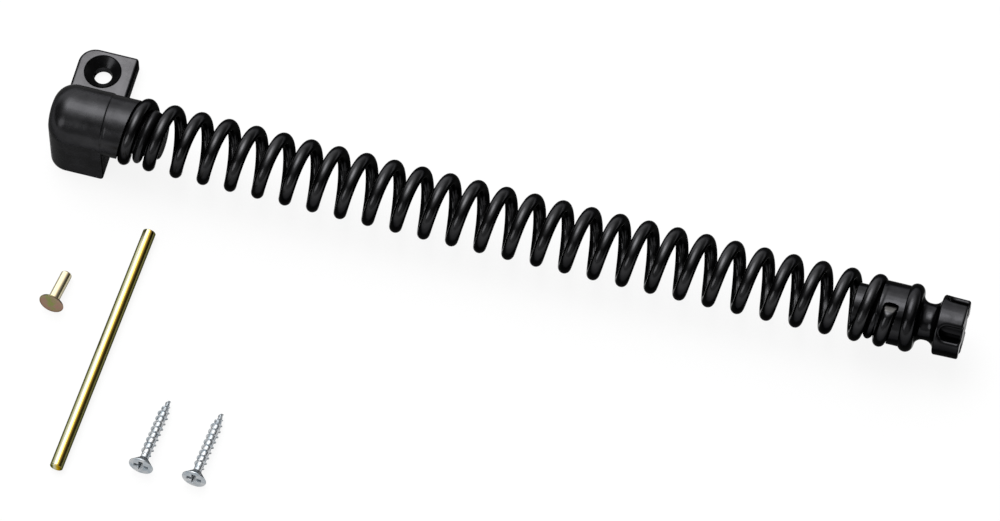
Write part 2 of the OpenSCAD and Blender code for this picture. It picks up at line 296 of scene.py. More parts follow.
def wave(x, x0, x1, r0, r1):
    """A radius that runs in a soft S from r0 at x0 to r1 at x1."""
    share = min(1, max(0, (x - x0) / (x1 - x0)))
    return r0 + (r1 - r0) * (1 - cos(pi * share)) / 2


def round_bar(name, radius, x0, x1, around, cuts, place):
    """A round bar on the spring's axis, cut into rings, whose corners are then set by their ring and step."""
    bpy.ops.mesh.primitive_cylinder_add(vertices=around, radius=radius, depth=x1 - x0, end_fill_type="NGON",
                                        location=((x0 + x1) / 2, axis_y, axis_z), rotation=(0, pi / 2, 0))
    piece = bpy.context.object
    piece.name = piece.data.name = name
    bpy.ops.object.transform_apply(location=True, rotation=True, scale=True)
    bpy.ops.object.mode_set(mode="EDIT")
    for cut in cuts:
        pick("EDGE", lambda a, b: not near(a.x, b.x))
        bpy.ops.mesh.subdivide(number_cuts=cut - 1)
    bpy.ops.object.mode_set(mode="OBJECT")
    for corner in piece.data.vertices:
        ring = round((corner.co.x - x0) / (x1 - x0) * prod(cuts))
        step = round(atan2(corner.co.y - axis_y, corner.co.z - axis_z) / (2 * pi) * around) % around
        x, angle, r = place(ring, step)
        corner.co = (x, axis_y + r * sin(angle), axis_z + r * cos(angle))
    bpy.ops.object.mode_set(mode="EDIT")
    face_outwards()
    bpy.ops.object.mode_set(mode="OBJECT")
    return piece


def round_end(r, past):
    """Rounds the end of a spigot, where a place is past the start of its edge."""
    if past <= 0:
        return r
    return min(r, spigot_r - spigot_edge + sqrt(max(0, spigot_edge ** 2 - past ** 2)))


def barrel_surface(x, turn):
    """The radius of the barrel and the spigot, with the wire's bed in them and the rib on them."""
    r = barrel_r - seam_depth * max(0, 1 - ((x - seam_x) / seam_half) ** 2)
    r = min(r, wave(x, shoulder_from, shoulder_to, barrel_r, spigot_r))
    r = soft_least(r, wire_bed(x, turn, 0, bed_turns), bed_blend)
    r = soft_most(r, rib_top(x, turn, rib_from, rib_to), rib_blend)
    return round_end(r, x - spigot_end + spigot_edge)


barrel_steps, barrel_cuts = 192, (12, 12)


def barrel_corner(ring, step):
    """Where a corner of the barrel lies: its place, its angle and its radius."""
    x = barrel_start + (spigot_end - barrel_start) * ring / prod(barrel_cuts)
    turn = step / barrel_steps
    return x, 2 * pi * turn, barrel_surface(x, turn)


barrel = round_bar("barrel", barrel_r, barrel_start, spigot_end, barrel_steps, barrel_cuts, barrel_corner)
combine(bracket, barrel, "UNION")
smooth(bracket, 38)


def add_node(tree, kind, **settings):
    """Adds a node, with its plain settings and the values of its sockets."""
    node = tree.nodes.new("ShaderNode" + kind if not kind.startswith("NodeGroup") else kind)
    for label, value in settings.items():
        if hasattr(node, label):
            setattr(node, label, value)
        else:
            node.inputs[label.replace("_", " ")].default_value = value
    return node


def wire_up(tree, *pairs):
    """Links outputs to inputs, pair by pair."""
    for source, target in pairs:
        tree.links.new(source, target)


def shader_group(name, inputs, outputs):
    """Starts a node group with its sockets, and gives it with its two end nodes."""
    group = bpy.data.node_groups.new(name, "ShaderNodeTree")
    for way, sockets in (("INPUT", inputs), ("OUTPUT", outputs)):
        for label, kind in sockets:
            group.interface.new_socket(name=label, in_out=way, socket_type="NodeSocket" + kind)
    return group, add_node(group, "NodeGroupInput"), add_node(group, "NodeGroupOutput")


peel_share, low_angle_tint = 0.1, (0.13, 0.13, 0.13, 1)
coating_group, coat_in, coat_out = shader_group(
    "thick_black_coating",
    (("Colour", "Color"), ("Gloss", "Float"), ("Dents", "Float"), ("Underside", "Float")),
    (("Coat Colour", "Color"), ("Roughness", "Float"), ("Height", "Float")))
place = add_node(coating_group, "TexCoord")
peel = add_node(coating_group, "TexNoise", Scale=900, Detail=2.0)
dents = add_node(coating_group, "TexNoise", Scale=240, Detail=1.5)
flow = add_node(coating_group, "TexNoise", Scale=130, Detail=4.0, Roughness=0.6)
dull = add_node(coating_group, "MapRange", From_Min=0.3, From_Max=0.7, To_Min=-0.05, To_Max=0.08)
rough = add_node(coating_group, "Math", operation="ADD")
waves = add_node(coating_group, "Math", operation="MULTIPLY")
skin = add_node(coating_group, "Math", operation="MULTIPLY_ADD")
shade = add_node(coating_group, "MapRange", From_Min=0.3, From_Max=0.7, To_Min=0.7, To_Max=1.3)
# Painted shade: faces whose object-space normal points less than steeply up are darkened, down to the
# Underside level where it points near level or down.
facing = add_node(coating_group, "SeparateXYZ")
underside_shade_mask = add_node(coating_group, "MapRange", From_Min=0.3, From_Max=0.65, To_Max=1.0)
tone_and_underside_shade = add_node(coating_group, "Math", operation="MULTIPLY")
tint = add_node(coating_group, "VectorMath", operation="SCALE")
skin.inputs[1].default_value = peel_share
wire_up(coating_group,
        (place.outputs["Object"], peel.inputs["Vector"]),
        (place.outputs["Object"], dents.inputs["Vector"]),
        (place.outputs["Object"], flow.inputs["Vector"]),
        (flow.outputs["Fac"], dull.inputs["Value"]),
        (dull.outputs["Result"], rough.inputs[0]),
        (coat_in.outputs["Gloss"], rough.inputs[1]),
        (rough.outputs["Value"], coat_out.inputs["Roughness"]),
        (dents.outputs["Fac"], waves.inputs[0]),
        (coat_in.outputs["Dents"], waves.inputs[1]),
        (peel.outputs["Fac"], skin.inputs[0]),
        (waves.outputs["Value"], skin.inputs[2]),
        (skin.outputs["Value"], coat_out.inputs["Height"]),
        (flow.outputs["Fac"], shade.inputs["Value"]),
        (coat_in.outputs["Colour"], tint.inputs[0]),
        (place.outputs["Normal"], facing.inputs["Vector"]),
        (facing.outputs["Z"], underside_shade_mask.inputs["Value"]),
        (coat_in.outputs["Underside"], underside_shade_mask.inputs["To Min"]),
        (shade.outputs["Result"], tone_and_underside_shade.inputs[0]),
        (underside_shade_mask.outputs["Result"], tone_and_underside_shade.inputs[1]),
        (tone_and_underside_shade.outputs["Value"], tint.inputs["Scale"]),
        (tint.outputs["Vector"], coat_out.inputs["Coat Colour"]))


def black_coat(name, colour, gloss, dents, metal, underside_shade=1.0):
    """A thick black coating, glossy but uneven, dark at a low angle, with painted shade on the faces that do
    not turn up.
    """
    material = bpy.data.materials.new(name)
    material.use_nodes = True
    tree = material.node_tree
    shader = tree.nodes["Principled BSDF"]
    shader.inputs["Metallic"].default_value = metal
    shader.inputs["Specular Tint"].default_value = low_angle_tint
    coating = add_node(tree, "Group", node_tree=coating_group, Colour=(*colour, 1), Gloss=gloss, Dents=dents,
                       Underside=underside_shade)
    bump = add_node(tree, "Bump", Strength=1.0, Distance=0.1 * mm)
    wire_up(tree,
            (coating.outputs["Coat Colour"], shader.inputs["Base Color"]),
            (coating.outputs["Roughness"], shader.inputs["Roughness"]),
            (coating.outputs["Height"], bump.inputs["Height"]),
            (bump.outputs["Normal"], shader.inputs["Normal"]))
    return material


bracket.data.materials.clear()
for coat in (black_coat("black_casting_coat", (0.032, 0.032, 0.034), gloss=0.24, dents=0.6, metal=0.87),
             # a lighter copy of the coat, for the plate's top face: a painted highlight, as the real casting
             # has one coat
             black_coat("black_plate_coat", (0.064, 0.063, 0.066), gloss=0.28, dents=0.5, metal=0.92),
             # a darker copy of the coat, for faces turned to the right and the plate's edges: painted shade
             black_coat("black_side_coat", (0.012, 0.012, 0.013), gloss=0.14, dents=0.2, metal=1.0)):
    bracket.data.materials.append(coat)
sink_border = 0.5 * mm
# Faces get the copies by place: the one with the painted highlight on the plate's top, the one with painted
# shade on right-facing faces and on the plate's edges and underside behind the housing.
for face in bracket.data.polygons:
    x, y, z = face.center
    on_top = near(z, plate_thick) and face.normal.z > 0.99
    on_rim = y > housing_rear + mm and face.normal.z < 0.9 and hypot(x, y) > sink_r + sink_border
    face.material_index = 1 if on_top else 2 if on_rim or face.normal.x > 0.95 else 0
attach(bracket, "bracket")
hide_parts("mounting_bracket")

# The coil spring is one length of round spring steel wire, wound left-handed into an open coil and coated
# black. Its first end is cut square and its last one at a slant, and both lie in the castings' beds.
wire_sides, rings_a_turn = 24, 64
sag_front, sag_down = 0.66 * mm, 0.5 * mm
cut_turns, cut_edge, cut_slack = 0.042, 0.3 * mm, 0.05 * mm


def end_cut(u):
    """How far out the wire reaches, which was snipped off at a slant at its last end."""
    return coil_r + wire_r * (1 - max(0, 1 - (turns - u) / cut_turns))


bpy.ops.mesh.primitive_circle_add(vertices=wire_sides, radius=wire_r, location=(0, 0, coil_r),
                                  rotation=(pi / 2, 0, 0), scale=(1 / cos(slope), 1, 1))
coil = bpy.context.object
coil.name = coil.data.name = "coil_spring_wire"
bpy.ops.object.transform_apply(location=True, rotation=True, scale=True)
only(coil)
winding = coil.modifiers.new("winding", "SCREW")
winding.axis = "X"
winding.angle = -2 * pi * turns
winding.screw_offset = pitch * turns
winding.steps = winding.render_steps = round(turns * rings_a_turn)
winding.use_merge_vertices = False
bpy.ops.object.modifier_apply(modifier=winding.name)
for corner in coil.data.vertices:
    turn = atan2(corner.co.y, corner.co.z) / (2 * pi)
    u = turn + round(corner.co.x / pitch - turn)
    r = hypot(corner.co.y, corner.co.z)
    if u > turns - cut_turns:
        r = min(r, end_cut(u))
    angle = 2 * pi * (u + wire_start_turn)
    share = 1 - (2 * u / turns - 1) ** 2
    corner.co = (wire_x(u) + corner.co.x - pitch * u, axis_y + r * sin(angle) - sag_front * share,
                 axis_z + r * cos(angle) - sag_down * share)
bpy.ops.object.mode_set(mode="EDIT")
bpy.ops.mesh.select_all(action="SELECT")
bpy.ops.mesh.fill_holes(sides=0)
face_outwards()
bpy.ops.object.mode_set(mode="OBJECT")
for face in coil.data.polygons:
    face.select = len(face.vertices) > 4
bpy.ops.object.mode_set(mode="EDIT")
bpy.ops.mesh.select_mode(type="EDGE")
bpy.ops.mesh.region_to_loop()
bpy.ops.mesh.bevel(offset=cut_edge, segments=2, affect="EDGES")
bpy.ops.object.mode_set(mode="OBJECT")
smooth(coil, 50)
coil.data.materials.clear()
# The wire's coat has painted shade, down to 0.4 of its colour, on faces that do not turn up.
for coat in (black_coat("black_wire_coat", (0.043, 0.043, 0.045), gloss=0.19, dents=0.15, metal=0.98,
                        underside_shade=0.4),
             black_coat("snipped_wire_end", (0.095, 0.093, 0.09), gloss=0.3, dents=0.4, metal=1.0)):
    coil.data.materials.append(coat)
for face in coil.data.polygons:
    y, z = face.center.y - axis_y, face.center.z - axis_z
    u = turns + ((atan2(y, z) / (2 * pi) - wire_start_turn - turns + 0.5) % 1 - 0.5)
    if face.center.x > wire_x(turns - 0.5) and turns - cut_turns < u <= turns:
        face.material_index = int(hypot(y, z) > end_cut(u) - cut_slack)
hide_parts("coil_spring")
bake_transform(coil)

# The adjuster is the second black casting: a spigot and a grooved land for the spring's last turn, a round
# flange, a neck for the gate's bracket, and a castellated head that the bar turns and the pin locks.
adjuster_low, adjuster_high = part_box("adjuster_head")
head_short = 0.6 * mm
adjuster_start, head_end = adjuster_low.x, adjuster_high.x - head_short
land_x, land_r, land_ramp = 262.7 * mm, 9.85 * mm, 0.3 * mm
end_rib_from, end_rib_to = turns - 1.35, turns - 0.8
flange_x, flange_r, flange_round = 273.0 * mm, 11.0 * mm, 2.5 * mm
neck_r, neck_left, neck_right = 5.95 * mm, 2.55 * mm, 2.9 * mm
head_x, head_r, head_end_r, head_back = 281.7 * mm, 9.65 * mm, 9.5 * mm, 0.78 * mm
slot_half, slot_centre, slot_turn = 2.35 * mm, 285.5 * mm, 47 / 360
slot_rim, head_edge, hub_r, least_aside = 1.3 * mm, 0.6 * mm, 5.0 * mm, 0.3 * mm
flange_core = flange_r - flange_round
flange_lean = asin(sqrt(flange_round ** 2 - (land_r - flange_core) ** 2) / flange_round)
valley_x = flange_x - flange_round * sin(flange_lean)


def land_surface(x, turn):
    """The radius of the spigot and the land, with the rib on them and the wire's bed in them."""
    r = wave(x, land_x - land_ramp, land_x + land_ramp, spigot_r, land_r)
    r = soft_most(r, rib_top(x, turn, end_rib_from, end_rib_to), rib_blend)
    r = soft_least(r, wire_bed(x, turn, turns - bed_turns, turns), bed_blend)
    return round_end(r, adjuster_start + spigot_edge - x)


def arc(x, r, size, first, last, steps):
    """A rounding of the turned outline: places and radii round its middle, between two angles."""
    return [(x + size * sin(a), r + size * cos(a)) for a in spread_out(first, last, steps)]


def head_surface(x):
    """The radius of the head between its slots, which narrows a little towards its end."""
    return head_r + (head_end_r - head_r) * (x - head_x) / (head_end - head_x)


hub_steps, wall_steps, rim_steps, face_steps = 5, 6, 5, 14
half_steps = hub_steps + wall_steps + rim_steps + face_steps


def slotted_corner(k, x, plain_r, inset):
    """A corner of the slotted head, k steps from a slot's middle: its angle from there and its radius."""
    outer = plain_r - inset
    half, hub = slot_half + inset, hub_r - inset
    back = max(slot_centre - x, 0)
    quarter = pi / 4

    def aside(out):
        """How far from the slot's middle the slot, widened by out, reaches here."""
        return sqrt(max((half + out) ** 2 - back ** 2, 0))

    rim_from, rim_to = hub_steps + wall_steps, hub_steps + wall_steps + rim_steps
    face_start = asin(max(aside(slot_rim), least_aside) / outer)
    if k > rim_to:
        return face_start + (quarter - face_start) * (k - rim_to) / face_steps, outer
    if back >= half:
        beside = outer * sin(face_start) * k / rim_to
        out = min(max(hypot(back, beside) - half, 0), slot_rim)
        return asin(beside / outer), outer - slot_rim + sqrt(slot_rim ** 2 - (slot_rim - out) ** 2)
    if k > rim_from:
        bend = pi / 2 * (k - rim_from) / rim_steps
        r = outer - slot_rim * (1 - sin(bend))
        return asin(aside(slot_rim * (1 - cos(bend))) / r), r
    wide = aside(0)
    if k <= hub_steps:
        return asin(wide / hub) * k / hub_steps, hub
    foot, top = sqrt(hub ** 2 - wide ** 2), sqrt((outer - slot_rim) ** 2 - wide ** 2)
    tall = foot + (top - foot) * (k - hub_steps) / wall_steps
    return atan2(wide, tall), hypot(wide, tall)


back_end, apex = head_x + head_back, slot_centre - slot_half
turned = [(x, None) for x in spread_out(adjuster_start, valley_x, 96)[:-1]]
turned += arc(flange_x, flange_core, flange_round, -flange_lean, pi / 2, 24)
turned += arc(flange_x + flange_round + neck_left, neck_r + neck_left, neck_left, -pi / 2, -pi, 9)
turned += arc(head_x - neck_right, neck_r + neck_right, neck_right, pi, pi / 2, 11)
turned += arc(back_end, head_r - head_back, head_back, -pi / 2, 0, 7)
head_rings = [back_end + (apex - back_end) * sin(a) for a in spread_out(0, pi / 2, 9)[1:]]
head_rings += [slot_centre - slot_half * cos(a) for a in spread_out(0, pi / 2, 11)[1:]]
head_rings += spread_out(slot_centre, head_end - head_edge, 13)[1:]
stations = [(x, r, 0) for x, r in turned] + [(x, head_surface(x), 0) for x in head_rings]
stations += [(head_end - head_edge * (1 - sin(a)), head_end_r, head_edge * (1 - cos(a)))
             for a in spread_out(0, pi / 2, 5)[1:]]
adjuster_cuts = (47, 4)
crowd_from, crowd_to = head_x - neck_right, head_x


def adjuster_corner(ring, step):
    """Where a corner of the adjuster lies; the steps crowd towards the slots' rims on the head."""
    x, r, inset = stations[ring]
    side = step % (2 * half_steps)
    k = min(side, 2 * half_steps - side)
    away = pi / 4 * k / half_steps
    if x > crowd_from:
        crowded, slotted = slotted_corner(k, x, r, inset)
        away += (crowded - away) * min(1, (x - crowd_from) / (crowd_to - crowd_from))
        r = slotted if x >= crowd_to else r
    if side > half_steps:
        away = pi / 2 - away
    angle = 2 * pi * slot_turn + step // (2 * half_steps) * pi / 2 + away
    if r is None:
        r = land_surface(x, (angle / (2 * pi)) % 1)
    return x, angle, r


adjuster = round_bar("adjuster_casting", head_r, adjuster_start, head_end, 8 * half_steps, adjuster_cuts,
                     adjuster_corner)
smooth(adjuster, 38)
adjuster.data.materials.clear()
# The adjuster's coat has painted shade, down to 0.4 of its colour, on faces that do not turn up.
adjuster.data.materials.append(black_coat("black_adjuster_coat", (0.03, 0.03, 0.032), gloss=0.16, dents=0.6,
                                          metal=0.97, underside_shade=0.4))
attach(adjuster, "adjuster")
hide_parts("adjuster_head")

# The tension bar is a straight length of drawn steel bar with broken edges, zinc plated and passivated
# yellow. It lies loose beside the closer, and winds the spring by the head's slots.
bar_r, bar_len, bar_edge = 2.1 * mm, 88 * mm, 0.3 * mm
saw_border, saw_depth = 0.5 * mm, 0.06 * mm
bar_middle, bar_turn = (28.0 * mm, -94.3 * mm, bar_r), radians(3.1)
bpy.ops.mesh.primitive_cylinder_add(vertices=64, radius=bar_r, depth=bar_len, end_fill_type="NGON",
                                    location=bar_middle, rotation=(pi / 2, 0, -bar_turn))
bar = bpy.context.object
bar.name = bar.data.name = "tension_bar_rod"
bpy.ops.object.transform_apply(location=True, rotation=True, scale=True)
bpy.ops.object.mode_set(mode="EDIT")
pick("FACE", lambda centre, normal: abs(normal.y) > 0.9)
bpy.ops.mesh.region_to_loop()
bpy.ops.mesh.bevel(offset=bar_edge, segments=3, affect="EDGES")
pick("FACE", lambda centre, normal: abs(normal.y) > 0.99)
bpy.ops.mesh.inset(thickness=saw_border, depth=-saw_depth, use_individual=True)
pick("EDGE", lambda a, b: abs(a.y - b.y) > bar_len / 2)
bpy.ops.mesh.subdivide(number_cuts=24)
face_outwards()
bpy.ops.object.mode_set(mode="OBJECT")
smooth(bar, 35)


def colour_stops(ramp, stops):
    """Fills a colour ramp with its places and colours."""
    while len(ramp.elements) < len(stops):
        ramp.elements.new(0.5)
    for stop, (spot, colour) in zip(ramp.elements, stops):
        stop.position, stop.color = spot, (*colour, 1)


zinc_outputs = (("Zinc Colour", "Color"), ("Roughness", "Float"), ("Height", "Float"))
zinc_film_and_painted_bands_group, zinc_in, zinc_out = shader_group(
    "yellow_passivated_zinc",
    (("Vector", "Vector"), ("Bands", "Float"), ("Bleach", "Float"), ("Gloss", "Float")), zinc_outputs)
patches = add_node(zinc_film_and_painted_bands_group, "TexNoise", Scale=1.0, Detail=3.0, Roughness=0.6)
streaks = add_node(zinc_film_and_painted_bands_group, "TexNoise", Scale=2.0, Detail=4.0)
film = add_node(zinc_film_and_painted_bands_group, "ValToRGB")
colour_stops(film.color_ramp, ((0.36, (0.22, 0.24, 0.09)), (0.5, (0.28, 0.21, 0.14)),
                               (0.62, (0.31, 0.19, 0.15))))
across = add_node(zinc_film_and_painted_bands_group, "SeparateXYZ")
spot_across = add_node(zinc_film_and_painted_bands_group, "Math", operation="MULTIPLY_ADD")
wander = add_node(zinc_film_and_painted_bands_group, "Math", operation="MULTIPLY_ADD")
ramp_a_radius, band_wander, band_middle = 0.5, 0.12, 0.44
spot_across.inputs[1].default_value = ramp_a_radius
wander.inputs[1].default_value = band_wander
wander.inputs[2].default_value = band_middle
# Partly the yellow film's own colours and partly painted light: across the piece (its X after the mapping) the
# colour runs from a dark side through a pale painted highlight band, then the film's gold, into painted dark
# brown and olive at the other side.
painted_bands = add_node(zinc_film_and_painted_bands_group, "ValToRGB")
colour_stops(painted_bands.color_ramp, ((0.07, (0.12, 0.11, 0.04)), (0.20, (0.26, 0.27, 0.11)),
                                (0.29, (0.70, 0.69, 0.54)), (0.42, (0.72, 0.66, 0.40)),
                                (0.50, (0.66, 0.54, 0.18)), (0.60, (0.62, 0.43, 0.08)),
                                (0.70, (0.46, 0.28, 0.05)), (0.80, (0.24, 0.19, 0.05)),
                                (0.95, (0.12, 0.12, 0.05))))
choice = add_node(zinc_film_and_painted_bands_group, "Mix", data_type="RGBA")
bleached = add_node(zinc_film_and_painted_bands_group, "Mix", data_type="RGBA")
bleached_zinc = (0.85, 0.77, 0.58, 1)
bleached.inputs["B"].default_value = bleached_zinc
matt = add_node(zinc_film_and_painted_bands_group, "MapRange", From_Min=0.3, From_Max=0.7, To_Min=-0.04, To_Max=0.06)
zinc_rough = add_node(zinc_film_and_painted_bands_group, "Math", operation="ADD")
wire_up(zinc_film_and_painted_bands_group,
        (zinc_in.outputs["Vector"], patches.inputs["Vector"]),
        (zinc_in.outputs["Vector"], streaks.inputs["Vector"]),
        (zinc_in.outputs["Vector"], across.inputs["Vector"]),
        (patches.outputs["Fac"], film.inputs["Fac"]),
        (patches.outputs["Fac"], wander.inputs[0]),
        (across.outputs["X"], spot_across.inputs[0]),
        (wander.outputs["Value"], spot_across.inputs[2]),
        (spot_across.outputs["Value"], painted_bands.inputs["Fac"]),
        (zinc_in.outputs["Bands"], choice.inputs["Factor"]),
        (film.outputs["Color"], choice.inputs["A"]),
        (painted_bands.outputs["Color"], choice.inputs["B"]),
        (zinc_in.outputs["Bleach"], bleached.inputs["Factor"]),
        (choice.outputs["Result"], bleached.inputs["A"]),
        (bleached.outputs["Result"], zinc_out.inputs["Zinc Colour"]),
        (streaks.outputs["Fac"], matt.inputs["Value"]),
        (matt.outputs["Result"], zinc_rough.inputs[0]),
        (zinc_in.outputs["Gloss"], zinc_rough.inputs[1]),
        (zinc_rough.outputs["Value"], zinc_out.inputs["Roughness"]),
        (streaks.outputs["Fac"], zinc_out.inputs["Height"]))


def plated(name, group, middle, turn, grain, edge, **film_values):
    """A plated steel surface whose film, painted bands of reflection and shade, and marks run along the piece,
    with an edge tint for low angles.
    """
    material = bpy.data.materials.new(name)
    material.use_nodes = True
    tree = material.node_tree
    shader = tree.nodes["Principled BSDF"]
    shader.inputs["Metallic"].default_value = 1.0
    shader.inputs["Specular Tint"].default_value = (edge, edge, edge, 1)
    spot = add_node(tree, "TexCoord")
    along = add_node(tree, "Mapping", vector_type="TEXTURE", Location=middle, Rotation=(0, 0, turn),
                     Scale=[1 / g for g in grain])
    film = add_node(tree, "Group", node_tree=group, **film_values)
    bump = add_node(tree, "Bump", Strength=1.0, Distance=0.01 * mm)
    wire_up(tree,
            (spot.outputs["Object"], along.inputs["Vector"]),
            (along.outputs["Vector"], film.inputs["Vector"]),
            (film.outputs["Zinc Colour"], shader.inputs["Base Color"]),
            (film.outputs["Roughness"], shader.inputs["Roughness"]),
            (film.outputs["Height"], bump.inputs["Height"]),
            (bump.outputs["Normal"], shader.inputs["Normal"]))
    return material


bar.data.materials.clear()
passivated_edge = 0.1
# The bar's colour is wholly the painted bands of reflection and shade, which also carry its yellow.
bar.data.materials.append(plated("yellow_zinc_bar", zinc_film_and_painted_bands_group, bar_middle, -bar_turn,
                                 (1 / bar_r, 45, 1 / bar_r), passivated_edge, Bands=1.0, Gloss=0.16))
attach(bar, "bar")
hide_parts("tension_bar")

# The lock pin is a short cold-headed steel pin with a flat round head, plated and passivated like the bar.
# It lies on the end of its shank and the rim of its head, and drops into a slot to hold the wound head.
pin_r, pin_len, pin_head_r = 1.8 * mm, 12.5 * mm, 4.1 * mm
pin_end_r, pin_head_from = 1.45 * mm, 12.25 * mm
pin_tilt = atan((pin_head_r - pin_r) / pin_len)
pin_turn = radians(6)
pin_place = (9.2 * mm, -71.6 * mm, pin_r * cos(pin_tilt))


def lay_down(piece, place, tilt, turn):
    """Lays a piece that was made upright on the table, its head towards the front."""
    only(piece)
    piece.location = place
    piece.rotation_euler = (pi / 2 - tilt, 0, -turn)
    bpy.ops.object.transform_apply(location=True, rotation=True, scale=True)


bpy.ops.mesh.primitive_circle_add(vertices=64, radius=pin_end_r, fill_type="NGON", location=(0, 0, 0))
pin = bpy.context.object
pin.name = pin.data.name = "lock_pin_rivet"
bpy.ops.object.mode_set(mode="EDIT")
bpy.ops.mesh.select_mode(type="FACE")
shank_steps = ((0.08, 1.62), (0.28, 1.76), (0.5, 1.8), (11.8, 1.8), (12.05, 1.9), (12.2, 2.2))
head_steps = ((12.3, 3.3), (12.36, 3.82), (12.46, 4.02), (12.6, 4.1), (12.74, 4.06), (12.88, 3.9),
              (12.96, 3.6), (13.0, 3.0), (13.0, 1.6))
turn_up([(up * mm, out * mm) for up, out in shank_steps + head_steps], 0, pin_end_r)
face_outwards()
bpy.ops.object.mode_set(mode="OBJECT")
pin.data.materials.clear()
# The shank's colour is the painted bands of reflection and shade, paled by mixing in the bleached zinc colour;
# the head keeps the film's own mottled colours.
for finish in (plated("yellow_zinc_shank", zinc_film_and_painted_bands_group, pin_place, -pin_turn, (1 / pin_r, 120, 1 / pin_r),
                      passivated_edge, Bands=1.0, Bleach=0.65, Gloss=0.18),
               plated("yellow_zinc_head", zinc_film_and_painted_bands_group, pin_place, -pin_turn, (420, 420, 420),
                      passivated_edge, Gloss=0.3)):
    pin.data.materials.append(finish)
for face in pin.data.polygons:
    face.material_index = int(face.center.z > pin_head_from)
lay_down(pin, pin_place, pin_tilt, pin_turn)
smooth(pin, 40)
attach(pin, "pin")
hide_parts("lock_pin")

# The two wood screws are turned and thread-rolled steel, bright zinc plated, with countersunk heads and
# cross recesses. They lie loose on their threads and the rims of their heads.
screw_len, screw_head_r, screw_rim = 25.5 * mm, 4.0 * mm, 0.3 * mm
thread_r, core_r, thread_pitch = 1.95 * mm, 1.32 * mm, 2.08 * mm
thread_end, thread_fade, ridge_half, tip_len, tip_share = 21.5 * mm, mm, 0.16, 5 * mm, 0.3
head_blend, head_bevel = 0.6 * mm, 0.08 * mm
screw_places = ((53.2 * mm, -106.4 * mm), (70.5 * mm, -106.4 * mm))
recess_half, recess_reach, recess_depth = 0.85 * mm, 2.65 * mm, 2.1 * mm
recess_taper, recess_clear = 0.45, 0.2 * mm
screw_turn = radians(4)
screw_tilt = atan((screw_head_r - thread_r) / (screw_len - tip_len))
screw_lift = thread_r * cos(screw_tilt) - tip_len * sin(screw_tilt)
screw_steps, screw_cuts = 48, (20, 18)
cone_from = screw_len - screw_rim - (screw_head_r - core_r)


def screw_radius(up, turn):
    """The radius of the threaded shank and of the cone under the head."""
    taper = min(1, tip_share + (1 - tip_share) * up / tip_len)
    core = core_r * taper
    off = (up / thread_pitch - turn + 0.5) % 1 - 0.5
    ridge = max(0, 1 - abs(off) / ridge_half)
    fade = min(1, max(0, (thread_end - up) / thread_fade)) * taper ** 0.7
    r = core + (thread_r - core_r) * ridge * fade
    if up > cone_from:
        r = soft_most(r, core_r + (up - cone_from), head_blend)
    return min(r, screw_head_r)


bpy.ops.mesh.primitive_cylinder_add(vertices=screw_steps, radius=core_r, depth=screw_len,
                                    end_fill_type="NGON", location=(0, 0, screw_len / 2))
first_screw = bpy.context.object
first_screw.name = first_screw.data.name = "wood_screw_1"
bpy.ops.object.transform_apply(location=True, rotation=True, scale=True)
bpy.ops.object.mode_set(mode="EDIT")
for cut in screw_cuts:
    pick("EDGE", lambda a, b: not near(a.z, b.z))
    bpy.ops.mesh.subdivide(number_cuts=cut - 1)
bpy.ops.object.mode_set(mode="OBJECT")
for corner in first_screw.data.vertices:
    turn = atan2(corner.co.y, corner.co.x) / (2 * pi)
    r = screw_radius(corner.co.z, turn)
    corner.co = (r * cos(2 * pi * turn), r * sin(2 * pi * turn), corner.co.z)
bpy.ops.object.mode_set(mode="EDIT")
pick("FACE", lambda centre, normal: normal.z > 0.9 and near(centre.z, screw_len))
bpy.ops.mesh.region_to_loop()
bpy.ops.mesh.bevel(offset=head_bevel, segments=2, affect="EDGES")
face_outwards()
bpy.ops.object.mode_set(mode="OBJECT")
for spin in (0, pi / 2):
    bpy.ops.mesh.primitive_cube_add(
        size=1, location=(0, 0, screw_len - recess_depth / 2 + recess_clear), rotation=(0, 0, spin),
        scale=(2 * recess_reach, 2 * recess_half, recess_depth + 2 * recess_clear))
    driver = bpy.context.object
    bpy.ops.object.transform_apply(location=True, rotation=True, scale=True)
    bpy.ops.object.mode_set(mode="EDIT")
    pick("FACE", lambda centre, normal: normal.z < -0.9)
    bpy.ops.transform.resize(value=(recess_taper, recess_taper, 1),
                             center_override=(0, 0, screw_len - recess_depth))
    face_outwards()
    bpy.ops.object.mode_set(mode="OBJECT")
    combine(first_screw, driver, "DIFFERENCE")

bright_group, bright_in, bright_out = shader_group(
    "bright_zinc_plate", (("Vector", "Vector"), ("Gloss", "Float")), zinc_outputs)
clouds = add_node(bright_group, "TexNoise", Scale=1.0, Detail=3.0)
pits = add_node(bright_group, "TexNoise", Scale=5.0, Detail=3.0)
blue = add_node(bright_group, "ValToRGB")
colour_stops(blue.color_ramp, ((0.35, (0.40, 0.45, 0.49)), (0.65, (0.62, 0.63, 0.64))))
satin = add_node(bright_group, "MapRange", From_Min=0.3, From_Max=0.7, To_Min=-0.06, To_Max=0.1)
bright_rough = add_node(bright_group, "Math", operation="ADD")
wire_up(bright_group,
        (bright_in.outputs["Vector"], clouds.inputs["Vector"]),
        (bright_in.outputs["Vector"], pits.inputs["Vector"]),
        (clouds.outputs["Fac"], blue.inputs["Fac"]),
        (blue.outputs["Color"], bright_out.inputs["Zinc Colour"]),
        (pits.outputs["Fac"], satin.inputs["Value"]),
        (satin.outputs["Result"], bright_rough.inputs[0]),
        (bright_in.outputs["Gloss"], bright_rough.inputs[1]),
        (bright_rough.outputs["Value"], bright_out.inputs["Roughness"]),
        (pits.outputs["Fac"], bright_out.inputs["Height"]))
first_screw.data.materials.clear()
first_screw.data.materials.append(plated("bright_zinc_screw", bright_group, (0, 0, 0), -screw_turn,
                                         (500, 500, 500), 0.0, Gloss=0.3))
second_screw = first_screw.copy()
second_screw.data = first_screw.data.copy()
second_screw.name = second_screw.data.name = "wood_screw_2"
bpy.context.scene.collection.objects.link(second_screw)
